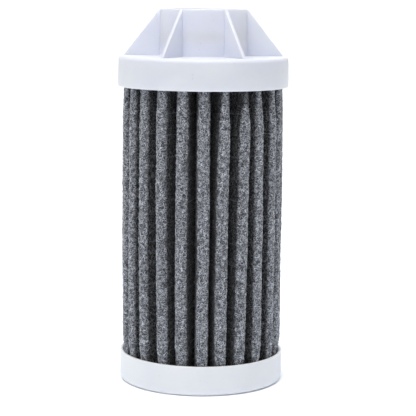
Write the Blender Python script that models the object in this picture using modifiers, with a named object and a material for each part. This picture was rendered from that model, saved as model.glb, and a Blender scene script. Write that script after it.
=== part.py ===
"""Pleated carbon water filter cartridge for a caravan's inline water inlet.

The origin is at the centre of the base, +Z runs up the cartridge's axis and -Y is its front.
Every piece is one named object; the cartridge has no moving pieces.
"""

import math

import bmesh
import bpy
from mathutils import Matrix, Vector

MM = 0.001

# Fits
CLEARANCE = 0.3 * MM  # between two pieces that rest on or fit into each other
LAYER_GAP = 0.1 * MM  # between the media's layers, which are folded together

# The whole cartridge
CARTRIDGE_HEIGHT = 140.3 * MM

# Top cap: a dish with a hollow boss on its deck and ribs from the boss to the rim
TOP_CAP_RADIUS = 32.0 * MM
TOP_SKIRT_HEIGHT = 11.4 * MM
TOP_WALL = 1.4 * MM
TOP_DECK = 1.9 * MM
EDGE_FILLET = 1.5 * MM
SKIRT_DRAFT = 0.2 * MM  # how much narrower the skirt is at its top
BOSS_RADIUS = 16.2 * MM
BOSS_HEIGHT = 17.4 * MM
BOSS_DRAFT = 0.2 * MM  # how much wider the boss is at its foot
RIB_COUNT = 6
RIB_THICKNESS = 1.3 * MM
RIB_FOOT_INSET = 2.1 * MM  # from the skirt's outside to the rib's foot
RIB_TOP_REACH = 0.4 * MM  # how far the rib's upper end stands out of the boss
RIB_TOP_DROP = 0.5 * MM  # from the boss's rim to the rib's upper end
RIB_ROOT = 0.7 * MM  # how far a rib is sunk into the boss and the deck

# The boss's socket, which the housing's nozzle plugs into
SOCKET_FLOOR = 1.6 * MM  # above the deck
SOCKET_SHOULDER = 1.5 * MM  # width of the ledge that stops the nozzle
NECK_STEP = 0.5 * MM  # least step from the spigot's inside to the neck
MOUTH_STEP = 0.6 * MM  # how much wider the mouth is than the socket
MOUTH_DEPTH = 4.0 * MM
MOUTH_CHAMFER = 0.8 * MM

# Seal ring in the socket
SEAL_CORD = 2.0 * MM
SEAL_BITE = 0.5 * MM  # how far the seal stands into the socket
SEAL_HEIGHT = 7.1 * MM  # of the seal's middle above the deck
GROOVE_WALL = 1.0 * MM  # left of the boss behind the seal's groove

# Bottom cap: a closed dish with a foot ring under it
BOTTOM_CAP_INSET = 1.0 * MM  # how much less its radius is than the top cap's
BOTTOM_CAP_HEIGHT = 11.1 * MM
BOTTOM_WALL = 1.1 * MM
BOTTOM_FLOOR = 1.8 * MM
FOOT_RING_WIDTH = 3.5 * MM
FOOT_RECESS = 0.6 * MM

# Core tube, with rows of windows, and the spigots that centre it in both caps
CORE_WALL = 1.5 * MM
SPIGOT_WALL = 1.0 * MM
SPIGOT_LENGTH = 6.0 * MM
WINDOW_COLUMNS = 6
WINDOW_END_BAND = 8.0 * MM  # least length of plain tube at each end
WINDOW_WIDTH = 10.0 * MM
WINDOW_HEIGHT = 9.0 * MM
WINDOW_PITCH = 12.5 * MM

# Pleated media: carbon felt outside, then a sediment membrane, then a drainage net
PLEAT_COUNT = 24
FELT_THICKNESS = 1.5 * MM
MEMBRANE_THICKNESS = 0.25 * MM
NET_THICKNESS = 0.25 * MM
PLEAT_SLIT = 0.3 * MM  # open width inside a fold, between the net's faces
VALLEY_BEND = 0.15 * MM  # bend radius of the felt's outside between two folds
POTTING_DEPTH = 2.9 * MM  # adhesive bed in each cap, which holds the media's ends
SEAM_WIDTH = 0.6 * MM  # adhesive seam that closes the folded strip into a ring
SEAM_PROUD = 0.3 * MM  # how far the seam stands out of the felt

# Fineness of the round shapes
SEGMENTS = 60
CORE_SEGMENTS = 36
SEAL_SEGMENTS = 36
SEAL_CORD_SEGMENTS = 8
FILLET_SEGMENTS = 3
FOLD_SEGMENTS = 4
SHARP_ANGLE = math.radians(35)

# Heights and radii that follow from the sizes above
DECK_TOP = CARTRIDGE_HEIGHT - BOSS_HEIGHT
DECK_UNDERSIDE = DECK_TOP - TOP_DECK
SKIRT_BOTTOM = DECK_TOP - TOP_SKIRT_HEIGHT
TOP_INSIDE = TOP_CAP_RADIUS - TOP_WALL
BOTTOM_CAP_RADIUS = TOP_CAP_RADIUS - BOTTOM_CAP_INSET
BOTTOM_INSIDE = BOTTOM_CAP_RADIUS - BOTTOM_WALL
PACK_RADIUS = min(TOP_INSIDE, BOTTOM_INSIDE) - CLEARANCE
MEDIA_THICKNESS = FELT_THICKNESS + MEMBRANE_THICKNESS + NET_THICKNESS + 2 * LAYER_GAP
PLEAT_HALF_WIDTH = PLEAT_SLIT / 2 + MEDIA_THICKNESS
HALF_PITCH = math.pi / PLEAT_COUNT
VALLEY_CENTRE = (VALLEY_BEND + PLEAT_HALF_WIDTH) / math.sin(HALF_PITCH)
TIP_CENTRE = PACK_RADIUS - PLEAT_HALF_WIDTH
SEAM_RADIUS = (TIP_CENTRE + VALLEY_CENTRE) / 2
CORE_RADIUS = VALLEY_CENTRE - VALLEY_BEND - MEDIA_THICKNESS - CLEARANCE
CORE_BORE = CORE_RADIUS - CORE_WALL
SPIGOT_RADIUS = CORE_BORE - CLEARANCE
SPIGOT_INSIDE = SPIGOT_RADIUS - SPIGOT_WALL
GROOVE_RADIUS = BOSS_RADIUS - GROOVE_WALL
SOCKET_RADIUS = GROOVE_RADIUS - CLEARANCE - SEAL_CORD + SEAL_BITE
NECK_RADIUS = min(SPIGOT_INSIDE - NECK_STEP, SOCKET_RADIUS - SOCKET_SHOULDER)
BOTTOM_BED_TOP = BOTTOM_FLOOR + CLEARANCE + POTTING_DEPTH
TOP_BED_UNDERSIDE = DECK_UNDERSIDE - CLEARANCE - POTTING_DEPTH
MEDIA_BOTTOM = BOTTOM_BED_TOP + CLEARANCE
MEDIA_TOP = TOP_BED_UNDERSIDE - CLEARANCE
MEDIA_HEIGHT = MEDIA_TOP - MEDIA_BOTTOM

# The cutters reach this far past what they cut
OVERSHOOT = 2.0 * MM


# ---------------------------------------------------------------- scene and helpers


def clear_scene():
    for obj in list(bpy.data.objects):
        bpy.data.objects.remove(obj)


def new_collection(name, hidden=False):
    collection = bpy.data.collections.new(name)
    bpy.context.scene.collection.children.link(collection)
    collection.hide_render = hidden
    return collection


def material(name, colour, roughness, metallic=0.0):
    made = bpy.data.materials.new(name)
    made.use_nodes = True
    shader = made.node_tree.nodes["Principled BSDF"]
    shader.inputs["Base Color"].default_value = (*colour, 1.0)
    shader.inputs["Roughness"].default_value = roughness
    shader.inputs["Metallic"].default_value = metallic
    return made


def add_part(name, mesh, look):
    obj = bpy.data.objects.new(name, mesh)
    obj.data.materials.append(look)
    parts.objects.link(obj)
    return obj


def add_cutter(name, mesh):
    obj = bpy.data.objects.new(name, mesh)
    obj.hide_render = True
    obj.display_type = "WIRE"
    cutters.objects.link(obj)
    return obj


def turned(name, profile, look, closed=True, segments=SEGMENTS):
    """A piece turned about Z from (radius, height) points that run down its outer side."""
    mesh = bpy.data.meshes.new(name)
    last = len(profile) - 1
    edges = [(i, i + 1) for i in range(last)]
    if closed:
        edges.append((last, 0))
    mesh.from_pydata([(radius, 0, height) for radius, height in profile], edges, [])
    obj = add_part(name, mesh, look)
    screw = obj.modifiers.new("turn", "SCREW")
    screw.steps = screw.render_steps = segments
    screw.use_merge_vertices = True
    screw.merge_threshold = 0.01 * MM
    return obj


def extruded_mesh(name, outlines, thickness):
    """Closed outlines in the XY plane, extruded equally to both sides, as a welded mesh."""
    curve = bpy.data.curves.new(name, "CURVE")
    curve.dimensions = "2D"
    curve.fill_mode = "BOTH"
    curve.extrude = thickness / 2
    for outline in outlines:
        spline = curve.splines.new("POLY")
        spline.points.add(len(outline) - 1)
        for point, (x, y) in zip(spline.points, outline):
            point.co = (x, y, 0, 1)
        spline.use_cyclic_u = True
    drawn = bpy.data.objects.new(name, curve)
    bpy.context.scene.collection.objects.link(drawn)
    graph = bpy.context.evaluated_depsgraph_get()
    mesh = bpy.data.meshes.new_from_object(drawn.evaluated_get(graph))
    bpy.data.objects.remove(drawn)
    welded = bmesh.new()
    welded.from_mesh(mesh)
    bmesh.ops.remove_doubles(welded, verts=welded.verts, dist=0.001 * MM)
    bmesh.ops.recalc_face_normals(welded, faces=welded.faces)
    welded.to_mesh(mesh)
    welded.free()
    return mesh


def boolean(obj, other, operation):
    modifier = obj.modifiers.new(other.name, "BOOLEAN")
    modifier.operation = operation
    modifier.object = other


def arc(centre, radius, start, end, segments):
    """Points along an arc, both ends included."""
    angles = [start + (end - start) * i / segments for i in range(segments + 1)]
    return [
        (centre[0] + radius * math.cos(a), centre[1] + radius * math.sin(a)) for a in angles
    ]


# ---------------------------------------------------------------- caps


def top_cap(look):
    """The dish, its boss with the stepped socket, and the ribs, as one moulding."""
    shoulder = DECK_TOP + SOCKET_FLOOR
    seal_middle = DECK_TOP + SEAL_HEIGHT
    groove_half = SEAL_CORD / 2 + CLEARANCE
    mouth_radius = SOCKET_RADIUS + MOUTH_STEP
    mouth_floor = CARTRIDGE_HEIGHT - MOUTH_DEPTH
    spigot_end = DECK_UNDERSIDE - SPIGOT_LENGTH
    skirt_top_radius = TOP_CAP_RADIUS - SKIRT_DRAFT
    fillet_centre = (skirt_top_radius - EDGE_FILLET, DECK_TOP - EDGE_FILLET)
    profile = [
        (BOSS_RADIUS, CARTRIDGE_HEIGHT),
        (BOSS_RADIUS + BOSS_DRAFT, DECK_TOP),
        *arc(fillet_centre, EDGE_FILLET, math.pi / 2, 0, FILLET_SEGMENTS),
        (TOP_CAP_RADIUS, SKIRT_BOTTOM),
        (TOP_INSIDE, SKIRT_BOTTOM),
        (TOP_INSIDE, DECK_UNDERSIDE),
        (SPIGOT_RADIUS, DECK_UNDERSIDE),
        (SPIGOT_RADIUS, spigot_end),
        (SPIGOT_INSIDE, spigot_end),
        (SPIGOT_INSIDE, DECK_UNDERSIDE),
        (NECK_RADIUS, DECK_UNDERSIDE),
        (NECK_RADIUS, shoulder),
        (SOCKET_RADIUS, shoulder),
        (SOCKET_RADIUS, seal_middle - groove_half),
        (GROOVE_RADIUS, seal_middle - groove_half),
        (GROOVE_RADIUS, seal_middle + groove_half),
        (SOCKET_RADIUS, seal_middle + groove_half),
        (SOCKET_RADIUS, mouth_floor - MOUTH_CHAMFER),
        (mouth_radius, mouth_floor),
        (mouth_radius, CARTRIDGE_HEIGHT),
    ]
    cap = turned("top_cap", profile, look)
    for i in range(RIB_COUNT):
        boolean(cap, rib(i, 2 * math.pi * i / RIB_COUNT), "UNION")
    return cap


def rib(number, angle):
    """One upright rib: its slanted edge runs from the boss's rim down to the deck's edge."""
    rib_top = CARTRIDGE_HEIGHT - RIB_TOP_DROP
    rib_bottom = DECK_TOP - RIB_ROOT
    foot = TOP_CAP_RADIUS - RIB_FOOT_INSET
    root = BOSS_RADIUS - RIB_ROOT
    outline = [
        (root, rib_bottom),
        (foot, rib_bottom),
        (foot, DECK_TOP),
        (BOSS_RADIUS + RIB_TOP_REACH, rib_top),
        (root, rib_top),
    ]
    name = f"rib_{number + 1}"
    joined = add_cutter(name, extruded_mesh(name, [outline], RIB_THICKNESS))
    joined.rotation_euler = (math.pi / 2, 0, angle)
    return joined


def bottom_cap(look):
    """A closed dish on a foot ring, with a spigot that centres the core tube."""
    fillet_centre = (BOTTOM_CAP_RADIUS - EDGE_FILLET, EDGE_FILLET)
    recess_radius = BOTTOM_CAP_RADIUS - EDGE_FILLET - FOOT_RING_WIDTH
    spigot_end = BOTTOM_FLOOR + SPIGOT_LENGTH
    profile = [
        (0, BOTTOM_FLOOR),
        (SPIGOT_INSIDE, BOTTOM_FLOOR),
        (SPIGOT_INSIDE, spigot_end),
        (SPIGOT_RADIUS, spigot_end),
        (SPIGOT_RADIUS, BOTTOM_FLOOR),
        (BOTTOM_INSIDE, BOTTOM_FLOOR),
        (BOTTOM_INSIDE, BOTTOM_CAP_HEIGHT),
        (BOTTOM_CAP_RADIUS, BOTTOM_CAP_HEIGHT),
        *arc(fillet_centre, EDGE_FILLET, 0, -math.pi / 2, FILLET_SEGMENTS),
        (recess_radius, 0),
        (recess_radius, FOOT_RECESS),
        (0, FOOT_RECESS),
    ]
    return turned("bottom_cap", profile, look, closed=False)


# ---------------------------------------------------------------- seal, core and adhesive


def seal_ring(look):
    """The round-section ring in the socket's groove."""
    middle = (GROOVE_RADIUS - CLEARANCE - SEAL_CORD / 2, DECK_TOP + SEAL_HEIGHT)
    cord = arc(middle, SEAL_CORD / 2, math.pi / 2, -3 * math.pi / 2, SEAL_CORD_SEGMENTS)
    return turned("socket_seal_ring", cord[:-1], look, segments=SEAL_SEGMENTS)


def ring(name, inside, outside, bottom, top, look, segments=SEGMENTS):
    profile = [(outside, top), (outside, bottom), (inside, bottom), (inside, top)]
    return turned(name, profile, look, segments=segments)


def core_tube(look):
    """The tube that holds the folds apart, with rows of windows for the water."""
    bottom = BOTTOM_FLOOR + CLEARANCE
    top = DECK_UNDERSIDE - CLEARANCE
    tube = ring("core_tube", CORE_BORE, CORE_RADIUS, bottom, top, look, CORE_SEGMENTS)
    depth = CORE_WALL + 2 * OVERSHOOT
    reach = CORE_RADIUS - CORE_WALL / 2
    rows = int((top - bottom - 2 * WINDOW_END_BAND - WINDOW_HEIGHT) / WINDOW_PITCH) + 1
    first_row = (bottom + top) / 2 - WINDOW_PITCH * (rows - 1) / 2
    windows = bmesh.new()
    for row in range(rows):
        for column in range(WINDOW_COLUMNS):
            turn = Matrix.Rotation(2 * math.pi * (column + 0.5) / WINDOW_COLUMNS, 4, "Z")
            place = Matrix.Translation((reach, 0, first_row + row * WINDOW_PITCH))
            size = Matrix.Diagonal((depth, WINDOW_WIDTH, WINDOW_HEIGHT, 1))
            bmesh.ops.create_cube(windows, size=1, matrix=turn @ place @ size)
    mesh = bpy.data.meshes.new("core_windows")
    windows.to_mesh(mesh)
    windows.free()
    boolean(tube, add_cutter("core_windows", mesh), "DIFFERENCE")
    return tube


def adhesive_beds(look):
    """The two beds that hold the media's ends, between each cap's wall and the core tube."""
    inside = CORE_RADIUS + CLEARANCE
    outside = BOTTOM_INSIDE - CLEARANCE
    ring("bottom_adhesive_bed", inside, outside, BOTTOM_FLOOR + CLEARANCE, BOTTOM_BED_TOP, look)
    outside = TOP_INSIDE - CLEARANCE
    ring("top_adhesive_bed", inside, outside, TOP_BED_UNDERSIDE, DECK_UNDERSIDE - CLEARANCE, look)


# ---------------------------------------------------------------- pleated media


def pleat_points(depth):
    """One closed run round the folded strip, at this depth below the felt's outside.

    Each fold is an arc round its tip and each valley an arc round its bend, and the straight
    sides are the lines that touch both arcs.
    """
    tip = Vector((TIP_CENTRE, 0))
    valley = Vector((VALLEY_CENTRE * math.cos(HALF_PITCH), VALLEY_CENTRE * math.sin(HALF_PITCH)))
    between = valley - tip
    tip_bend = PLEAT_HALF_WIDTH - depth
    valley_bend = VALLEY_BEND + depth
    slant = math.acos((tip_bend + valley_bend) / between.length)
    side = math.atan2(between.y, between.x) - slant  # direction square to the straight side
    points = []
    for i in range(PLEAT_COUNT):
        turn = 2 * HALF_PITCH * i
        tip_middle = (TIP_CENTRE * math.cos(turn), TIP_CENTRE * math.sin(turn))
        points += arc(tip_middle, tip_bend, turn - side, turn + side, FOLD_SEGMENTS)
        turn += HALF_PITCH
        valley_middle = (VALLEY_CENTRE * math.cos(turn), VALLEY_CENTRE * math.sin(turn))
        inward = turn + math.pi
        half_bend = side - HALF_PITCH
        points += arc(
            valley_middle, valley_bend, inward + half_bend, inward - half_bend, FOLD_SEGMENTS
        )
    return points


def pleated_sheet(name, outer_depth, thickness, look):
    """One folded layer of the media, open at the seam."""
    outlines = [pleat_points(outer_depth), pleat_points(outer_depth + thickness)]
    sheet = add_part(name, extruded_mesh(name, outlines, MEDIA_HEIGHT), look)
    sheet.location.z = (MEDIA_BOTTOM + MEDIA_TOP) / 2
    boolean(sheet, seam_cut, "DIFFERENCE")
    return sheet


def seam_block(width, inside, outside, height):
    """A block through one side of the rearmost fold, at these distances from its middle."""
    block = bmesh.new()
    size = Matrix.Diagonal((outside - inside, width, height, 1))
    middle_height = (MEDIA_BOTTOM + MEDIA_TOP) / 2
    middle = Matrix.Translation((-(inside + outside) / 2, SEAM_RADIUS, middle_height))
    bmesh.ops.create_cube(block, size=1, matrix=middle @ size)
    mesh = bpy.data.meshes.new("seam_block")
    block.to_mesh(mesh)
    block.free()
    return mesh


def seam_cutter():
    halfway_to_next_fold = SEAM_RADIUS * math.sin(HALF_PITCH)
    width = SEAM_WIDTH + 2 * CLEARANCE
    height = MEDIA_HEIGHT + OVERSHOOT
    return add_cutter("seam_cut", seam_block(width, PLEAT_SLIT / 8, halfway_to_next_fold, height))


def media_seam(look):
    """The adhesive seam between the strip's two ends, as tall as the media."""
    mesh = seam_block(SEAM_WIDTH, PLEAT_SLIT / 4, PLEAT_HALF_WIDTH + SEAM_PROUD, MEDIA_HEIGHT)
    return add_part("media_seam", mesh, look)


def bake_modifiers():
    """Gives every part its final mesh, smooth apart from its real edges."""
    graph = bpy.context.evaluated_depsgraph_get()
    for obj in list(parts.objects):
        mesh = bpy.data.meshes.new_from_object(obj.evaluated_get(graph))
        obj.modifiers.clear()
        obj.data = mesh
        mesh.shade_smooth()
        mesh.set_sharp_from_angle(angle=SHARP_ANGLE)


clear_scene()
parts = new_collection("filter_cartridge")
cutters = new_collection("cutters", hidden=True)

white_plastic = material("white_plastic", (0.80, 0.82, 0.86), 0.42)
natural_plastic = material("natural_plastic", (0.74, 0.75, 0.73), 0.5)
carbon_felt = material("carbon_felt", (0.11, 0.115, 0.125), 0.95)
sediment_membrane = material("sediment_membrane", (0.78, 0.78, 0.75), 0.9)
hot_melt = material("hot_melt", (0.66, 0.63, 0.54), 0.4)
black_rubber = material("black_rubber", (0.02, 0.02, 0.02), 0.55)

top_cap(white_plastic)
bottom_cap(white_plastic)
seal_ring(black_rubber)
core_tube(natural_plastic)
adhesive_beds(hot_melt)
seam_cut = seam_cutter()
pleated_sheet("carbon_felt_pleats", 0, FELT_THICKNESS, carbon_felt)
membrane_depth = FELT_THICKNESS + LAYER_GAP
pleated_sheet(
    "sediment_membrane_pleats", membrane_depth, MEMBRANE_THICKNESS, sediment_membrane
)
net_depth = membrane_depth + MEMBRANE_THICKNESS + LAYER_GAP
pleated_sheet("drainage_net_pleats", net_depth, NET_THICKNESS, natural_plastic)
media_seam(hot_melt)
bake_modifiers()
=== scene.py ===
import math
import random

import bmesh
import bpy
from mathutils import Matrix, Vector, noise


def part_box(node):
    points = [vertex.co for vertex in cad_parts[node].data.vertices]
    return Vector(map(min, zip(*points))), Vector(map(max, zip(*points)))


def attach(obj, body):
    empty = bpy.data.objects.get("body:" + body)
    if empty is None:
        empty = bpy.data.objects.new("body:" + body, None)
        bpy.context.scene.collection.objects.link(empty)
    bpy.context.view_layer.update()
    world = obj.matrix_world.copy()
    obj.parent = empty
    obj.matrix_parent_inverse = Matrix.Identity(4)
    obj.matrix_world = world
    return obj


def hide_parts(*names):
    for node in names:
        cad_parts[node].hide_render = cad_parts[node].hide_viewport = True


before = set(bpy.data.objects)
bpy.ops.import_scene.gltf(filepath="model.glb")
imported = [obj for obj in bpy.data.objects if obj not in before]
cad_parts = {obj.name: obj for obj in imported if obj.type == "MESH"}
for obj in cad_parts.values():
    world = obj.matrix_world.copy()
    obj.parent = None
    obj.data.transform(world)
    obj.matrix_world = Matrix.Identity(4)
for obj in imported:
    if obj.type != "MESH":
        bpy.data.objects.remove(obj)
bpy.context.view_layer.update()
print("frame loaded")

mm = 0.001
smoothAngle = math.radians(32)
mergeDistance = 0.002 * mm
ringTolerance = 0.02 * mm
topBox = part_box("top_cap")
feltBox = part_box("carbon_felt_pleats")


def newPiece(name, bm, finish, smooth=True):
    mesh = bpy.data.meshes.new(name)
    bm.to_mesh(mesh)
    bm.free()
    piece = bpy.data.objects.new(name, mesh)
    bpy.context.scene.collection.objects.link(piece)
    mesh.materials.append(finish)
    if smooth:
        mesh.shade_smooth()
        mesh.set_sharp_from_angle(angle=smoothAngle)
    return piece


def fullSpin(bm, segments):
    # turns everything in the bmesh once round the cartridge's axis
    bmesh.ops.spin(bm, geom=bm.verts[:] + bm.edges[:], axis=(0, 0, 1), cent=(0, 0, 0),
                   steps=segments, angle=math.tau, use_merge=True)


def spunShape(points, segments, closed=True):
    # points are (radius, height) in millimetres; an open section starts and ends on the axis
    bm = bmesh.new()
    verts = [bm.verts.new((r * mm, 0, z * mm)) for r, z in points]
    following = verts[1:] + verts[:1] if closed else verts[1:]
    for a, b in zip(verts, following):
        bm.edges.new((a, b))
    fullSpin(bm, segments)
    bmesh.ops.remove_doubles(bm, verts=bm.verts, dist=mergeDistance)
    bmesh.ops.recalc_face_normals(bm, faces=bm.faces)
    return bm


def roundRing(bm, radius, height, size, segments):
    # rounds the circular edge at this radius and height, in millimetres
    def onRing(v):
        across = abs(math.hypot(v.co.x, v.co.y) - radius * mm)
        return across < ringTolerance and abs(v.co.z - height * mm) < ringTolerance

    ring = [e for e in bm.edges if onRing(e.verts[0]) and onRing(e.verts[1])]
    roundEdges(bm, ring, size, segments)


def roundEdges(bm, edges, size, segments):
    bmesh.ops.bevel(bm, geom=edges, offset=size * mm, offset_type="OFFSET", segments=segments,
                    profile=0.5, affect="EDGES", material=-1, clamp_overlap=True)


def smoothStep(low, high, value):
    t = min(1.0, max(0.0, (value - low) / (high - low)))
    return t * t * (3 - 2 * t)


def finishPiece(piece, node=None):
    # every piece rides on the one body; some stand for a CAD node
    if node:
        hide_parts(node)
    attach(piece, "root")


class Nodes:
    # short forms for the node calls
    def __init__(self, name):
        self.material = bpy.data.materials.new(name)
        self.material.use_nodes = True
        self.tree = self.material.node_tree
        self.shader = self.tree.nodes["Principled BSDF"]
        self.place = self.add("ShaderNodeTexCoord").outputs["Object"]

    def add(self, kind, **settings):
        node = self.tree.nodes.new(kind)
        for key, value in settings.items():
            setattr(node, key, value)
        return node

    def link(self, source, target):
        self.tree.links.new(source, target)

    def noise(self, scale, detail=3.0, roughness=0.55, distortion=0.0, place=None):
        node = self.add("ShaderNodeTexNoise")
        node.inputs["Scale"].default_value = scale
        node.inputs["Detail"].default_value = detail
        node.inputs["Roughness"].default_value = roughness
        node.inputs["Distortion"].default_value = distortion
        self.link(place or self.place, node.inputs["Vector"])
        return node.outputs["Fac"]

    def range(self, value, low, high, toLow, toHigh):
        node = self.add("ShaderNodeMapRange")
        node.inputs["From Min"].default_value = low
        node.inputs["From Max"].default_value = high
        node.inputs["To Min"].default_value = toLow
        node.inputs["To Max"].default_value = toHigh
        self.link(value, node.inputs["Value"])
        return node.outputs["Result"]

    def maths(self, operation, first, second=None):
        node = self.add("ShaderNodeMath", operation=operation)
        for socket, value in zip(node.inputs, (first, second)):
            if value is None:
                continue
            if isinstance(value, (int, float)):
                socket.default_value = value
            else:
                self.link(value, socket)
        return node.outputs["Value"]

    def offMiddle(self, value):
        # how far a noise is from its middle value
        return self.maths("ABSOLUTE", self.maths("SUBTRACT", value, 0.5))

    def mixColour(self, share, first, second):
        node = self.add("ShaderNodeMix", data_type="RGBA")
        sockets = (node.inputs[0], node.inputs[6], node.inputs[7])
        for socket, value in zip(sockets, (share, first, second)):
            if isinstance(value, (int, float)):
                socket.default_value = value
            elif isinstance(value, tuple):
                socket.default_value = (*value, 1.0)
            else:
                self.link(value, socket)
        return node.outputs[2]

    def bump(self, height, strength, distance, under=None):
        # distance is in millimetres
        node = self.add("ShaderNodeBump")
        node.inputs["Strength"].default_value = strength
        node.inputs["Distance"].default_value = distance * mm
        self.link(height, node.inputs["Height"])
        if under:
            self.link(under, node.inputs["Normal"])
        return node.outputs["Normal"]

    def set(self, **values):
        for key, value in values.items():
            socket = self.shader.inputs[key]
            if isinstance(value, (int, float)):
                socket.default_value = value
            elif isinstance(value, tuple):
                colour = len(value) == 3 and socket.type == "RGBA"
                socket.default_value = (*value, 1.0) if colour else value
            else:
                self.link(value, socket)


capFinish = dict(
    light=(0.816, 0.836, 0.928), shade=(0.767, 0.789, 0.889), cloud=45.0,
    speck=(0.52, 0.53, 0.55), speckScale=1500.0, speckShare=0.35,
    roughness=0.36, smoother=0.06, rougher=0.08, handling=220.0,
    grain=2600.0, grainDepth=0.02, flow=90.0, flowDepth=0.25,
    inner=0.85, innerTint=(1.0, 1.0, 1.1), innerDepth=2.1,
)
# the lower moulding gets a brighter, bluer copy of the cap colours, painted light that stands in
# for bounce from the floor
paintedLightFootFinish = dict(capFinish, light=(0.858, 0.875, 0.955), shade=(0.819, 0.838, 0.930))


def mouldedWhite(name, c):
    n = Nodes(name)
    cloud = n.noise(c["cloud"], 4.0, 0.5, 0.6)
    colour = n.mixColour(n.range(cloud, 0.35, 0.7, 0.0, 1.0), c["light"], c["shade"])
    specks = n.range(n.noise(c["speckScale"], 1.0, 0.4), 0.74, 0.80, 0.0, c["speckShare"])
    colour = n.mixColour(specks, colour, c["speck"])
    rough = n.range(n.noise(c["handling"], 5.0, 0.6, 0.3), 0.3, 0.7,
                    c["roughness"] - c["smoother"], c["roughness"] + c["rougher"])
    grain = n.noise(c["grain"], 2.0, 0.5)
    flow = n.noise(c["flow"], 2.0, 0.5, 0.8)
    normal = n.bump(grain, 0.10, c["grainDepth"], n.bump(flow, 0.12, c["flowDepth"]))
    n.set(**{"Base Color": colour, "Roughness": rough, "Normal": normal, "IOR": 1.49,
             "Subsurface Weight": c["inner"], "Subsurface Radius": c["innerTint"],
             "Subsurface Scale": c["innerDepth"] * mm})
    return n.material


feltFinish = dict(
    pit=(0.014, 0.014, 0.017), body=(0.076, 0.079, 0.089), fibre=(0.72, 0.755, 0.83),
    fibreScales=(550.0, 790.0), fibreWidth=0.05, fibreShare=0.62, finerShare=0.85,
    pitScale=1300.0, pitShare=0.6, patch=110.0, patchLift=1.12, relief=0.18,
    # from the axis outwards: where the painted shade deep between the folds ends and where the
    # tips have their full colour; the darkest colour is that painted shade
    foldShadeLow=28.15, foldShadeHigh=29.0, paintedDeepShade=(0.007, 0.007, 0.008),
    hairScale=1250.0, hairWidth=0.05, hairs=0.24,
    rows=0.19, rowPitch=7.95, rowWander=0.3, rowEdges=(0.05, 0.25), rowBreaks=900.0,
)


def fromAxis(n):
    # distance from the cartridge's axis
    flat = n.add("ShaderNodeVectorMath", operation="MULTIPLY")
    flat.inputs[1].default_value = (1, 1, 0)
    n.link(n.place, flat.inputs[0])
    length = n.add("ShaderNodeVectorMath", operation="LENGTH")
    n.link(flat.outputs["Vector"], length.inputs[0])
    return length.outputs["Value"]


def foldShadeMask(n):
    # painted shade between the folds: 0 deep between them, where the shade is painted, 1 on their
    # tips
    return n.range(fromAxis(n), feltFinish["foldShadeLow"] * mm, feltFinish["foldShadeHigh"] * mm, 0.0, 1.0)


def curledPlace(n, scale, amount, lying):
    # bent coordinates; lying above 1 lays the strands across the folds, below 1 along them
    squeezed = n.add("ShaderNodeVectorMath", operation="MULTIPLY")
    squeezed.inputs[1].default_value = (1, 1, lying)
    n.link(n.place, squeezed.inputs[0])
    warp = n.add("ShaderNodeTexNoise")
    warp.inputs["Scale"].default_value = scale
    warp.inputs["Detail"].default_value = 2.0
    n.link(n.place, warp.inputs["Vector"])
    offset = n.add("ShaderNodeVectorMath", operation="MULTIPLY_ADD")
    offset.inputs[1].default_value = (amount * mm, amount * mm, amount * mm)
    n.link(warp.outputs["Color"], offset.inputs[0])
    n.link(squeezed.outputs["Vector"], offset.inputs[2])
    return offset.outputs["Vector"]


def needleRows(n, patches, c):
    # faint broken rows of needle marks at an even pitch
    split = n.add("ShaderNodeSeparateXYZ")
    n.link(n.place, split.inputs["Vector"])
    wander = n.maths("MULTIPLY", patches, c["rowWander"] * mm)
    row = n.maths("PINGPONG", n.maths("ADD", split.outputs["Z"], wander), c["rowPitch"] / 2 * mm)
    inner, outer = c["rowEdges"]
    marks = n.range(row, inner * mm, outer * mm, c["rows"], 0.0)
    breaks = n.range(n.noise(c["rowBreaks"], 1.0, 0.5), 0.35, 0.65, 0.1, 1.0)
    return n.maths("MULTIPLY", marks, breaks)


def needledFelt(c):
    n = Nodes("needledFelt")
    curled = curledPlace(n, 520.0, 1.6, 1.5)
    # fibres are the thin bands where a noise passes through its middle value
    bands = []
    for scale in c["fibreScales"]:
        value = n.noise(scale, 1.0, 0.5, 1.0, curled)
        bands.append(n.range(n.offMiddle(value), 0.0, c["fibreWidth"], 1.0, 0.0))
    fibres = n.maths("MAXIMUM", bands[0], n.maths("MULTIPLY", bands[1], c["finerShare"]))
    pits = n.range(n.noise(c["pitScale"], 1.0, 0.5, 0.8, curled), 0.36, 0.47, 1.0, 0.0)
    patches = n.range(n.noise(c["patch"], 3.0, 0.55, 0.4), 0.3, 0.7, 0.0, 1.0)
    lifted = tuple(part * c["patchLift"] for part in c["body"])
    colour = n.mixColour(patches, c["body"], lifted)
    colour = n.mixColour(n.maths("MULTIPLY", fibres, c["fibreShare"]), colour, c["fibre"])
    colour = n.mixColour(n.maths("MULTIPLY", pits, c["pitShare"]), colour, c["pit"])
    # deep in the folds the colour is a painted shade, and only fine hairs and the rows of needle
    # marks show over it
    standing = curledPlace(n, 300.0, 1.4, 0.5)
    middle = n.offMiddle(n.noise(c["hairScale"], 1.0, 0.5, 0.6, standing))
    hairs = n.range(middle, 0.0, c["hairWidth"], c["hairs"], 0.0)
    shadedFlank = n.mixColour(n.maths("ADD", hairs, needleRows(n, patches, c)), c["paintedDeepShade"], c["fibre"])
    # the flanks deep between the folds get the painted shade, the tips keep their own colour
    colour = n.mixColour(foldShadeMask(n), shadedFlank, colour)
    height = n.maths("SUBTRACT", fibres, n.maths("MULTIPLY", pits, 1.1))
    n.set(**{"Base Color": colour, "Roughness": 0.8, "Normal": n.bump(height, 0.9, c["relief"]),
             "Specular IOR Level": 0.35, "Sheen Weight": 0.1, "Sheen Roughness": 0.4})
    return n.material


# the darkest fibre colour is a painted shade for fibres deep between the folds
fibreFinish = dict(dark=(0.16, 0.167, 0.190), light=(0.79, 0.82, 0.89),
                   paintedDeepShade=(0.03, 0.031, 0.036), tone=1500.0)


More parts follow.
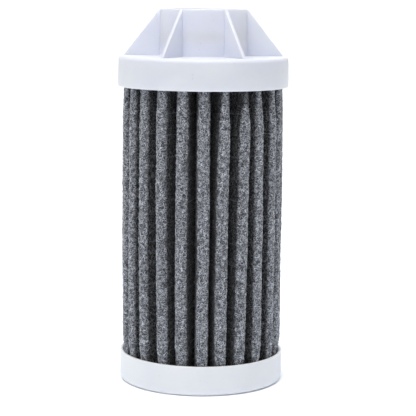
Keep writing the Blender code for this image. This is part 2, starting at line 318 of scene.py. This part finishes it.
def looseFibre(c):
    n = Nodes("looseFibre")
    tone = n.range(n.noise(c["tone"], 1.0, 0.6), 0.35, 0.65, 0.0, 1.0)
    # fibres deep between the folds take the painted shade
    colour = n.mixColour(foldShadeMask(n), c["paintedDeepShade"], n.mixColour(tone, c["dark"], c["light"]))
    n.set(**{"Base Color": colour, "Roughness": 0.5, "Specular IOR Level": 0.5,
             "Sheen Weight": 0.6})
    return n.material


fleeceFinish = dict(dark=(0.58, 0.58, 0.55), light=(0.80, 0.80, 0.77), strands=1800.0, depth=0.05)


def fleece(c):
    n = Nodes("sedimentFleece")
    strands = n.noise(c["strands"], 4.0, 0.6, 1.5)
    colour = n.mixColour(n.range(strands, 0.35, 0.65, 0.0, 1.0), c["dark"], c["light"])
    n.set(**{"Base Color": colour, "Roughness": 0.9, "Normal": n.bump(strands, 0.5, c["depth"])})
    return n.material


netFinish = dict(hole=(0.40, 0.41, 0.40), thread=(0.76, 0.77, 0.75), mesh=900.0, depth=0.1)


def netPlastic(c):
    n = Nodes("drainageNet")
    cells = n.add("ShaderNodeTexVoronoi", feature="DISTANCE_TO_EDGE")
    cells.inputs["Scale"].default_value = c["mesh"]
    n.link(n.place, cells.inputs["Vector"])
    threads = n.range(cells.outputs["Distance"], 0.05, 0.25, 1.0, 0.0)
    colour = n.mixColour(threads, c["hole"], c["thread"])
    n.set(**{"Base Color": colour, "Roughness": 0.5, "Normal": n.bump(threads, 0.7, c["depth"])})
    return n.material


tubeFinish = dict(light=(0.72, 0.73, 0.71), shade=(0.64, 0.655, 0.64), cloud=60.0,
                  grain=2200.0, grainDepth=0.02, handling=300.0)


def tubePlastic(c):
    n = Nodes("tubePlastic")
    cloud = n.noise(c["cloud"], 4.0, 0.5, 0.5)
    colour = n.mixColour(n.range(cloud, 0.35, 0.7, 0.0, 1.0), c["light"], c["shade"])
    grain = n.noise(c["grain"], 2.0, 0.5)
    rough = n.range(n.noise(c["handling"], 3.0), 0.3, 0.7, 0.42, 0.56)
    n.set(**{"Base Color": colour, "Roughness": rough,
             "Normal": n.bump(grain, 0.12, c["grainDepth"]), "Subsurface Weight": 0.1,
             "Subsurface Radius": (0.9, 0.9, 0.8), "Subsurface Scale": 1.0 * mm})
    return n.material


meltFinish = dict(dark=(0.20, 0.19, 0.17), light=(0.33, 0.31, 0.27), cloud=160.0, depth=0.3)


def hotMelt(c):
    n = Nodes("hotMelt")
    cloud = n.noise(c["cloud"], 3.0, 0.5, 0.8)
    colour = n.mixColour(n.range(cloud, 0.3, 0.7, 0.0, 1.0), c["dark"], c["light"])
    rough = n.range(n.noise(500.0, 2.0), 0.3, 0.7, 0.22, 0.4)
    n.set(**{"Base Color": colour, "Roughness": rough, "Normal": n.bump(cloud, 0.4, c["depth"]),
             "Coat Weight": 0.2})
    return n.material


rubberFinish = dict(dark=(0.016, 0.016, 0.017), light=(0.05, 0.05, 0.052), bloom=900.0, depth=0.03)


def sealRubber(c):
    n = Nodes("sealRubber")
    bloom = n.noise(c["bloom"], 4.0, 0.6)
    colour = n.mixColour(n.range(bloom, 0.45, 0.75, 0.0, 1.0), c["dark"], c["light"])
    rough = n.range(bloom, 0.3, 0.7, 0.35, 0.6)
    n.set(**{"Base Color": colour, "Roughness": rough, "Normal": n.bump(bloom, 0.15, c["depth"])})
    return n.material


whiteFinish = mouldedWhite("mouldedWhite", capFinish)
# the foot's copy of the white is brighter and bluer, painted light
paintedLightFootWhite = mouldedWhite("paintedLightFootWhite", paintedLightFootFinish)
feltLook = needledFelt(feltFinish)
fibreLook = looseFibre(fibreFinish)
fleeceLook = fleece(fleeceFinish)
netLook = netPlastic(netFinish)
tubeLook = tubePlastic(tubeFinish)
meltLook = hotMelt(meltFinish)
rubberLook = sealRubber(rubberFinish)
print("materials ready")


# the spigots of both caps hold the ends of the core tube
spigot = dict(inside=13.70, outside=14.70, length=6.0)

# dish, socketed boss and six ribs in one moulding
topCap = dict(
    radius=32.0, skirt=11.4, wall=1.4, deck=1.9, shoulder=1.5, draft=0.2,
    bossRadius=16.2, bossHeight=17.4, bossDraft=0.2, rim=0.4, bossFoot=0.6,
    ribs=6, ribThickness=1.3, ribFoot=29.9, ribReach=0.4, ribDrop=0.35, ribEdge=0.28, ribBite=0.7,
    neck=11.9, ledge=1.6, socket=13.4, mouth=14.0, mouthDepth=4.0, lead=0.8,
    groove=15.2, grooveMiddle=7.1, grooveHalf=1.3,
    lipOutside=0.35, lipInside=0.25, innerEdge=0.3, dishCorner=0.5, segments=144,
)


def ribShape(c, deckTop, top):
    # one upright rib, drawn flat, thickened and rounded along its outer edges
    bm = bmesh.new()
    root, foot = c["bossRadius"] - c["ribBite"], deckTop - c["ribBite"]
    ridge = top - c["ribDrop"]
    outline = [(root, foot), (c["ribFoot"], foot), (c["ribFoot"], deckTop),
               (c["bossRadius"] + c["ribReach"], ridge), (root, ridge)]
    half = c["ribThickness"] / 2
    face = bm.faces.new([bm.verts.new((x * mm, -half * mm, z * mm)) for x, z in outline])
    grown = bmesh.ops.extrude_face_region(bm, geom=[face])
    moved = [v for v in grown["geom"] if isinstance(v, bmesh.types.BMVert)]
    bmesh.ops.translate(bm, verts=moved, vec=(0, c["ribThickness"] * mm, 0))
    bmesh.ops.recalc_face_normals(bm, faces=bm.faces)
    inset = 0.1  # tells the outer edges from those inside the boss and the deck

    def isOuter(v):
        return v.co.x > (c["bossRadius"] + inset) * mm and v.co.z > (deckTop - inset) * mm

    roundEdges(bm, [e for e in bm.edges if all(isOuter(v) for v in e.verts)], c["ribEdge"], 2)
    return bm


def joined(piece, others):
    # unites the pieces into one closed skin
    for other in others:
        cut = piece.modifiers.new(other.name, "BOOLEAN")
        cut.operation = "UNION"
        cut.solver = "EXACT"
        cut.object = other
    graph = bpy.context.evaluated_depsgraph_get()
    mesh = bpy.data.meshes.new_from_object(piece.evaluated_get(graph))
    piece.modifiers.clear()
    piece.data = mesh
    for other in others:
        bpy.data.objects.remove(other)
    mesh.shade_smooth()
    mesh.set_sharp_from_angle(angle=smoothAngle)


def makeTopCap(c):
    top = topBox[1].z / mm
    deckTop = top - c["bossHeight"]
    under = deckTop - c["deck"]
    skirtBottom = deckTop - c["skirt"]
    spigotEnd = under - spigot["length"]
    ledge = deckTop + c["ledge"]
    middle, half = deckTop + c["grooveMiddle"], c["grooveHalf"]
    mouthFloor = top - c["mouthDepth"]
    inside = c["radius"] - c["wall"]
    bossFoot = c["bossRadius"] + c["bossDraft"]
    shoulder = c["radius"] - c["draft"]
    profile = [
        (c["bossRadius"], top), (bossFoot, deckTop), (shoulder, deckTop),
        (c["radius"], skirtBottom), (inside, skirtBottom), (inside, under),
        (spigot["outside"], under), (spigot["outside"], spigotEnd),
        (spigot["inside"], spigotEnd), (spigot["inside"], under),
        (c["neck"], under), (c["neck"], ledge), (c["socket"], ledge),
        (c["socket"], middle - half), (c["groove"], middle - half),
        (c["groove"], middle + half), (c["socket"], middle + half),
        (c["socket"], mouthFloor - c["lead"]), (c["mouth"], mouthFloor), (c["mouth"], top),
    ]
    bm = spunShape(profile, c["segments"])
    for radius, height, size, steps in (
        (c["bossRadius"], top, c["rim"], 3), (c["mouth"], top, c["innerEdge"], 3),
        (bossFoot, deckTop, c["bossFoot"], 3), (shoulder, deckTop, c["shoulder"], 5),
        (c["radius"], skirtBottom, c["lipOutside"], 3), (inside, skirtBottom, c["lipInside"], 2),
        (c["neck"], ledge, c["innerEdge"], 2), (c["socket"], ledge, c["innerEdge"], 2),
        (spigot["outside"], spigotEnd, c["innerEdge"], 2), (inside, under, c["dishCorner"], 2),
    ):
        roundRing(bm, radius, height, size, steps)
    cap = newPiece("topCap", bm, whiteFinish)
    ribs = []
    for i in range(c["ribs"]):
        bm = ribShape(c, deckTop, top)
        turn = Matrix.Rotation(math.tau * i / c["ribs"], 3, "Z")
        bmesh.ops.rotate(bm, verts=bm.verts, cent=(0, 0, 0), matrix=turn)
        ribs.append(newPiece(f"rib{i}", bm, whiteFinish))
    joined(cap, ribs)
    finishPiece(cap, "top_cap")


makeTopCap(topCap)
print("top cap made")


bottomCap = dict(radius=31.0, height=11.1, wall=1.1, floor=1.8, baseRound=1.5, footWidth=3.5,
                 recess=0.6, rim=0.35, footEdge=0.3, dishCorner=0.5, spigotEdge=0.25, segments=144)


def makeBottomCap(c):
    inside = c["radius"] - c["wall"]
    footInner = c["radius"] - c["baseRound"] - c["footWidth"]
    spigotTop = c["floor"] + spigot["length"]
    profile = [
        (0, c["floor"]), (spigot["inside"], c["floor"]), (spigot["inside"], spigotTop),
        (spigot["outside"], spigotTop), (spigot["outside"], c["floor"]), (inside, c["floor"]),
        (inside, c["height"]), (c["radius"], c["height"]), (c["radius"], 0),
        (footInner, 0), (footInner, c["recess"]), (0, c["recess"]),
    ]
    bm = spunShape(profile, c["segments"], closed=False)
    for radius, height, size, steps in (
        (c["radius"], c["height"], c["rim"], 3), (inside, c["height"], c["rim"], 3),
        (c["radius"], 0, c["baseRound"], 5), (footInner, 0, c["footEdge"], 2),
        (footInner, c["recess"], c["footEdge"], 2), (inside, c["floor"], c["dishCorner"], 2),
        (spigot["inside"], spigotTop, c["spigotEdge"], 2),
    ):
        roundRing(bm, radius, height, size, steps)
    finishPiece(newPiece("bottomCap", bm, paintedLightFootWhite), "bottom_cap")


makeBottomCap(bottomCap)
print("bottom cap made")


folds = dict(
    count=24, tipRadius=29.6, valleyBend=0.15, slit=0.3,
    felt=1.5, membrane=0.25, net=0.25, gap=0.1,
    bulge=0.55, wobble=0.14, lump=0.10, seed=11, slack=0.05,
    # heights between which the folds come free of the lower bed and are held again by the upper
    comeFree=(6.0, 22.0), heldAgain=(100.0, 116.0), stiffShare=0.3,
    # heights over which they swell out, fall back and narrow
    bulging=(10.5, 17.0), dipping=(97.0, 112.0), pinching=(92.0, 108.0),
    # drifts along a fold: number, size and wavelength
    reachDrift=(1, 0.25, 30.0), leanDrift=(2, 1.6, 38.0), leanQuick=(3, 0.7, 9.0),
    swellDrift=(4, 0.9, 24.0), swellQuick=(5, 0.6, 6.0),
    # how far some tips lean to their left or right at the top, the middle and the bottom
    leanMiddle=60.0, leanSpan=45.0,
    leans={
        1: (0.3, 0.5, -0.2), 3: (0.4, -0.3, 0.1), 5: (-0.5, 0.2, 0.6), 8: (0.6, 0.8, 0.2),
        10: (-0.3, 0.5, -0.4), 13: (-0.8, -0.9, -0.3), 14: (-0.9, -1.6, -1.2),
        15: (-1.3, -1.5, -1.0), 16: (-0.5, -0.4, 0.3), 17: (0.1, 0.0, 0.35),
        18: (0.5, 0.5, 0.5), 19: (0.7, 0.0, 0.0), 20: (1.5, 0.65, 0.15),
        21: (0.3, 0.6, 0.4), 22: (1.3, 1.45, 1.3), 23: (0.5, 0.3, 0.3),
    },
    # how much narrower some tips are all the way, and where they go into the top cap
    slims={2: 0.3, 7: 0.2, 13: 0.6, 14: 0.2, 21: 0.2, 22: 0.45, 23: 0.2},
    pinches={4: 0.4, 9: 0.5, 19: 0.6, 20: 0.55},
    # how far the tips fall back under the top cap
    dip=0.45,
    dips={1: 0.8, 4: 1.0, 9: 1.2, 18: 0.6, 19: 1.2, 20: 1.9, 21: 1.3, 22: 0.9},
)
folds["bottom"], folds["top"] = feltBox[0].z / mm, feltBox[1].z / mm
mediaThickness = folds["felt"] + folds["membrane"] + folds["net"] + 2 * folds["gap"]
halfWidth = folds["slit"] / 2 + mediaThickness
halfPitch = math.pi / folds["count"]
valleyCentre = (folds["valleyBend"] + halfWidth) / math.sin(halfPitch)


def sway(fold, height, drift):
    # slow seeded drift along a fold, within plus and minus its size
    number, size, wavelength = drift
    place = Vector((height / wavelength, fold * 7.31 + number * 41.7, folds["seed"]))
    return size * noise.noise(place)


def tipShape(fold, height, calm):
    # how far one fold's tip reaches, leans and spreads at this height, in millimetres
    held = smoothStep(*folds["heldAgain"], height)
    free = smoothStep(*folds["comeFree"], height) * (1.0 - held)
    steady = folds["stiffShare"] + (1.0 - folds["stiffShare"]) * free
    quick = 0.0 if calm else 1.0
    reach = folds["bulge"] * smoothStep(*folds["bulging"], height)
    reach += sway(fold, height, folds["reachDrift"]) * free
    reach -= folds["dips"].get(fold, folds["dip"]) * smoothStep(*folds["dipping"], height)
    lean = folds["wobble"] * steady * (sway(fold, height, folds["leanDrift"])
                                       + quick * sway(fold, height, folds["leanQuick"]))
    up, mid, down = folds["leans"].get(fold, (0.0, 0.0, 0.0))
    t = (height - folds["leanMiddle"]) / folds["leanSpan"]
    lean += mid + t * (up - down) / 2 + t * t * ((up + down) / 2 - mid)
    swell = folds["wobble"] * steady * (sway(fold, height, folds["swellDrift"])
                                        + quick * sway(fold, height, folds["swellQuick"]))
    wide = halfWidth - folds["slack"] + swell - folds["slims"].get(fold, 0.0)
    wide -= folds["pinches"].get(fold, 0.0) * smoothStep(*folds["pinching"], height)
    return reach, lean, wide


def foldSection(fold, height, depth, counts, calm=False):
    # one fold seen from above, in its own frame, as (point, outward) pairs in millimetres,
    # from the middle of one valley to just before the middle of the next
    reach, lean, wide = tipShape(fold, height, calm)
    tip = Vector((folds["tipRadius"] + reach - wide, lean))
    leastBend = 0.04 + 0.03 * (mediaThickness - depth)
    bend = max(leastBend, wide - depth)
    deepBend = folds["valleyBend"] + depth
    halves = []
    for side in (-1, 1):
        across = side * valleyCentre * math.sin(halfPitch)
        valley = Vector((valleyCentre * math.cos(halfPitch), across))
        between = valley - tip
        spread = math.acos(min(1.0, (bend + deepBend) / between.length))
        square = math.atan2(between.y, between.x) - side * spread
        inward, away = math.pi + side * halfPitch, square + math.pi
        flat = Vector((math.cos(square), math.sin(square)))
        half = []
        for i in range(counts[0]):
            a = inward + (away - inward) * i / counts[0]
            ray = Vector((math.cos(a), math.sin(a)))
            half.append((valley + deepBend * ray, -ray))
        for i in range(counts[1]):
            place = (valley - deepBend * flat).lerp(tip + bend * flat, i / counts[1])
            half.append((place, flat))
        for i in range(counts[2]):
            a = square * (1 - i / counts[2])
            ray = Vector((math.cos(a), math.sin(a)))
            half.append((tip + bend * ray, ray))
        halves.append(half)
    return halves[0] + [(tip + Vector((bend, 0)), Vector((1, 0)))] + halves[1][:0:-1]


def foldedRing(height, depth, counts, calm=False, lump=0.0):
    # every fold's points at one height, in metres, with their outward directions
    ring = []
    for fold in range(folds["count"]):
        turn = Matrix.Rotation(fold * 2 * halfPitch, 2)
        for point, outward in foldSection(fold, height, depth, counts, calm):
            place = (turn @ point).to_3d() + Vector((0, 0, height))
            normal = (turn @ outward).to_3d()
            if lump:
                fine = noise.noise(place / 1.2 + Vector((9, 4, 1)))
                place += normal * lump * (noise.noise(place / 2.6) + 0.5 * fine)
            ring.append((place * mm, normal))
    return ring


def foldedSheet(name, finish, depth, thickness, rows, counts, calm, lump):
    # a ring of edges is extruded up the outside, over the top and down the inside, then closed
    low, high = folds["bottom"], folds["top"]
    levels = [(low + (high - low) * i / rows, depth, calm, lump) for i in range(rows + 1)]
    inner = max(2, rows // 8)
    levels += [(high - (high - low) * i / inner, depth + thickness, True, 0.0)
               for i in range(inner + 1)]
    bm = bmesh.new()
    count = 2 * sum(counts) * folds["count"]
    bmesh.ops.create_circle(bm, segments=count, radius=1.0)
    loop = bm.edges[:]
    first = loop
    skin = []
    for height, level, still, rough in levels:
        ring = foldedRing(height, level, counts, still, rough)
        if skin:
            grown = bmesh.ops.extrude_edge_only(bm, edges=loop)
            loop = [g for g in grown["geom"] if isinstance(g, bmesh.types.BMEdge)]
            verts = [g for g in grown["geom"] if isinstance(g, bmesh.types.BMVert)]
        else:
            verts = bm.verts[:]
        for v, (place, _) in zip(verts, ring):
            v.co = place
        skin.append(ring)
    bmesh.ops.bridge_loops(bm, edges=first + loop)
    bmesh.ops.recalc_face_normals(bm, faces=bm.faces)
    return newPiece(name, bm, finish), skin[:rows + 1]


# counts are the points round half a valley, along a flank and round half a tip
feltMesh = dict(rows=88, counts=(2, 5, 4), calm=False, lump=folds["lump"])
innerMesh = dict(rows=16, counts=(2, 3, 2), calm=True, lump=0.0)
feltPiece, feltSkin = foldedSheet("foldedFelt", feltLook, 0.0, folds["felt"], **feltMesh)
finishPiece(feltPiece, "carbon_felt_pleats")
print("felt folded")

layerDepth = folds["felt"]
for name, look, layer, slot, node in (
    ("foldedMembrane", fleeceLook, "membrane", "sediment_membrane", "sediment_membrane_pleats"),
    ("foldedNet", netLook, "net", "natural_plastic", "drainage_net_pleats"),
):
    layerDepth += folds["gap"]
    layerPiece, _ = foldedSheet(name, look, layerDepth, folds[layer], **innerMesh)
    finishPiece(layerPiece, node)
    layerDepth += folds[layer]
print("inner layers folded")


# curled fibres that stand out of the felt; a few are loose, longer and thinner
fuzz = dict(perPiece=3500, pieces=6, thickness=0.095, steps=6, stride=0.36, sunk=0.04,
            curl=(0.35, 0.95), uneven=(0.7, 1.3), scatter=0.7, spread=0.17, ends=0.55,
            lift=0.10, lifts=(0.5, 1.4), loose=0.02, looseLift=0.45, looseLifts=(0.5, 1.0),
            looseThin=0.35, firstRow=3, rowsLeft=7, shuffle=3, leastGap=0.05, seed=5)


def skinPoint(column, row):
    # a point and its outward direction between the felt's rows and columns
    rows, columns = len(feltSkin), len(feltSkin[0])
    row = min(rows - 1.001, max(0.0, row))
    r, c = int(row), int(math.floor(column))
    fr, fc = row - r, column - c
    a, b = feltSkin[r][c % columns], feltSkin[r][(c + 1) % columns]
    d, e = feltSkin[r + 1][c % columns], feltSkin[r + 1][(c + 1) % columns]
    place = a[0].lerp(b[0], fc).lerp(d[0].lerp(e[0], fc), fr)
    outward = a[1].lerp(b[1], fc).lerp(d[1].lerp(e[1], fc), fr)
    return place, outward.normalized()


def layFibre(spline, column, row, rise, dice):
    # walks a curl over the felt from this column and row, and lifts its middle
    heading = dice.choice((0, math.pi)) + dice.gauss(0, fuzz["scatter"])
    turn = dice.choice((-1, 1)) * dice.uniform(*fuzz["curl"])
    loose = dice.random() < fuzz["loose"]
    if loose:
        lift, thin = fuzz["looseLift"] * dice.uniform(*fuzz["looseLifts"]), fuzz["looseThin"]
    else:
        lift, thin = fuzz["lift"] * dice.uniform(*fuzz["lifts"]), 1.0
    spline.points.add(fuzz["steps"])
    for i, point in enumerate(spline.points):
        place, outward = skinPoint(column, row)
        arch = math.sin(math.pi * i / fuzz["steps"])
        place = place + outward * mm * (lift * arch - fuzz["sunk"])
        point.co = (*place, 1.0)
        point.radius = thin * (fuzz["ends"] + (1.0 - fuzz["ends"]) * arch)
        right, left = skinPoint(column + 0.5, row)[0], skinPoint(column - 0.5, row)[0]
        gap = max(fuzz["leastGap"] * mm, (right - left).length)
        column += math.cos(heading) * fuzz["stride"] * mm / gap
        row += math.sin(heading) * fuzz["stride"] * mm / rise
        heading += turn * dice.uniform(*fuzz["uneven"])


def makeFuzz(number, dice):
    rows, columns = len(feltSkin), len(feltSkin[0])
    perFold = columns // folds["count"]
    rise = (folds["top"] - folds["bottom"]) * mm / (rows - 1)
    curve = bpy.data.curves.new(f"feltFibres{number}", "CURVE")
    curve.dimensions = "3D"
    curve.bevel_depth = fuzz["thickness"] * mm
    curve.bevel_resolution = 0
    curve.use_fill_caps = True
    share = folds["count"] // fuzz["pieces"]
    reach = fuzz["shuffle"] * share
    for index in range(fuzz["perPiece"]):
        fold = number * share + index % share
        column = fold * perFold + (perFold / 2 + dice.gauss(0, perFold * fuzz["spread"]))
        along = (index + dice.uniform(0, reach)) / (fuzz["perPiece"] + reach)
        row = fuzz["firstRow"] + (rows - fuzz["rowsLeft"]) * along
        layFibre(curve.splines.new("POLY"), column, row, rise, dice)
    drawn = bpy.data.objects.new(curve.name, curve)
    bpy.context.scene.collection.objects.link(drawn)
    graph = bpy.context.evaluated_depsgraph_get()
    mesh = bpy.data.meshes.new_from_object(drawn.evaluated_get(graph))
    bpy.data.objects.remove(drawn)
    bm = bmesh.new()
    bm.from_mesh(mesh)
    bmesh.ops.remove_doubles(bm, verts=bm.verts, dist=mergeDistance / 2)
    piece = newPiece(f"feltFibres{number}", bm, fibreLook)
    piece.data.shade_smooth()
    finishPiece(piece)


dice = random.Random(fuzz["seed"])
for number in range(fuzz["pieces"]):
    makeFuzz(number, dice)
print("fibres laid")


sealRing = dict(radius=13.9, cord=1.0, segments=120, around=16)


def makeSealRing(c):
    bm = bmesh.new()
    made = bmesh.ops.create_circle(bm, segments=c["around"], radius=c["cord"] * mm)
    upright = Matrix.Rotation(math.pi / 2, 3, "X")
    bmesh.ops.rotate(bm, verts=made["verts"], cent=(0, 0, 0), matrix=upright)
    middle = topBox[1].z - topCap["bossHeight"] * mm + topCap["grooveMiddle"] * mm
    bmesh.ops.translate(bm, verts=made["verts"], vec=(c["radius"] * mm, 0, middle))
    fullSpin(bm, c["segments"])
    bmesh.ops.recalc_face_normals(bm, faces=bm.faces)
    finishPiece(newPiece("sealRing", bm, rubberLook), "socket_seal_ring")


makeSealRing(sealRing)

# these keep their own shape under a new finish
keptLooks = dict(core_tube=tubeLook, top_adhesive_bed=meltLook, bottom_adhesive_bed=meltLook,
                 media_seam=meltLook)
for node, look in keptLooks.items():
    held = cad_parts[node]
    held.data.materials.clear()
    held.data.materials.append(look)
    held.data.shade_smooth()
    held.data.set_sharp_from_angle(angle=smoothAngle)
print("inner parts finished")


# the floor glows faintly outside the foot, most of it near the object, and lights the caps from
# below; under the foot and just past its edge the glow is held off, a painted contact shadow
stage = dict(floor=40.0, floorDrop=0.05, floorColour=(0.95, 0.95, 0.95),
             glow=0.48, farGlow=0.08, glowColour=(0.72, 0.84, 1.0),
             contactShadowFull=0.029, contactShadowEnd=0.036, glowFrom=0.06, glowTo=0.42)


def makeStage(c):
    bm = bmesh.new()
    bmesh.ops.create_circle(bm, cap_ends=True, segments=64, radius=c["floor"])
    bmesh.ops.translate(bm, verts=bm.verts, vec=(0, 0, -c["floorDrop"] * mm))
    look = Nodes("paleFloor")
    out = fromAxis(look)
    # no glow under the foot and right by its edge: a painted contact shadow
    rise = look.range(out, c["contactShadowFull"], c["contactShadowEnd"], 0.0, 1.0)
    fall = look.range(out, c["glowFrom"], c["glowTo"], c["glow"], c["farGlow"])
    look.set(**{"Base Color": c["floorColour"], "Roughness": 0.9, "Specular IOR Level": 0.0,
                "Emission Color": c["glowColour"],
                "Emission Strength": look.maths("MULTIPLY", rise, fall)})
    newPiece("floor", bm, look.material, smooth=False)
    world = bpy.data.worlds.new("studio")
    bpy.context.scene.world = world
    world.use_nodes = True
    background = world.node_tree.nodes["Background"]
    background.inputs["Color"].default_value = (1.0, 1.0, 1.0, 1.0)
    world.cycles_visibility.diffuse = False


# turn goes from the front towards the right, height is up from the floor, all in degrees
lights = dict(
    topLight=dict(strength=2.10, turn=0, height=89, spread=70),
    frontLight=dict(strength=1.31, turn=-21, height=58, spread=34),
    backLight=dict(strength=0.40, turn=170, height=48, spread=60),
)


def softSun(name, strength, turn, height, spread):
    light = bpy.data.lights.new(name, "SUN")
    light.energy = strength
    light.angle = math.radians(spread)
    lamp = bpy.data.objects.new(name, light)
    bpy.context.scene.collection.objects.link(lamp)
    turn, height = math.radians(turn), math.radians(height)
    level = math.cos(height)
    towards = Vector((math.sin(turn) * level, -math.cos(turn) * level, math.sin(height)))
    lamp.rotation_euler = (-towards).to_track_quat("-Z", "Y").to_euler()


makeStage(stage)
for name, values in lights.items():
    softSun(name, **values)

# place in millimetres, tilt down and roll in degrees
view = dict(place=(2.27, -555.6, 146.9), tilt=8.36, roll=0.577, lens=127.9, sensor=36.0,
            nearest=0.01, furthest=100.0)


def makeCamera(c):
    data = bpy.data.cameras.new("camera")
    data.sensor_width = c["sensor"]
    data.lens = c["lens"]
    data.clip_start, data.clip_end = c["nearest"], c["furthest"]
    camera = bpy.data.objects.new("camera", data)
    bpy.context.scene.collection.objects.link(camera)
    camera.location = Vector(c["place"]) * mm
    tilted = Matrix.Rotation(math.radians(90 - c["tilt"]), 3, "X")
    rolled = Matrix.Rotation(math.radians(c["roll"]), 3, "Z")
    camera.rotation_euler = (tilted @ rolled).to_euler()
    bpy.context.scene.camera = camera


makeCamera(view)
bpy.context.scene.view_settings.view_transform = "Standard"
print("stage set")
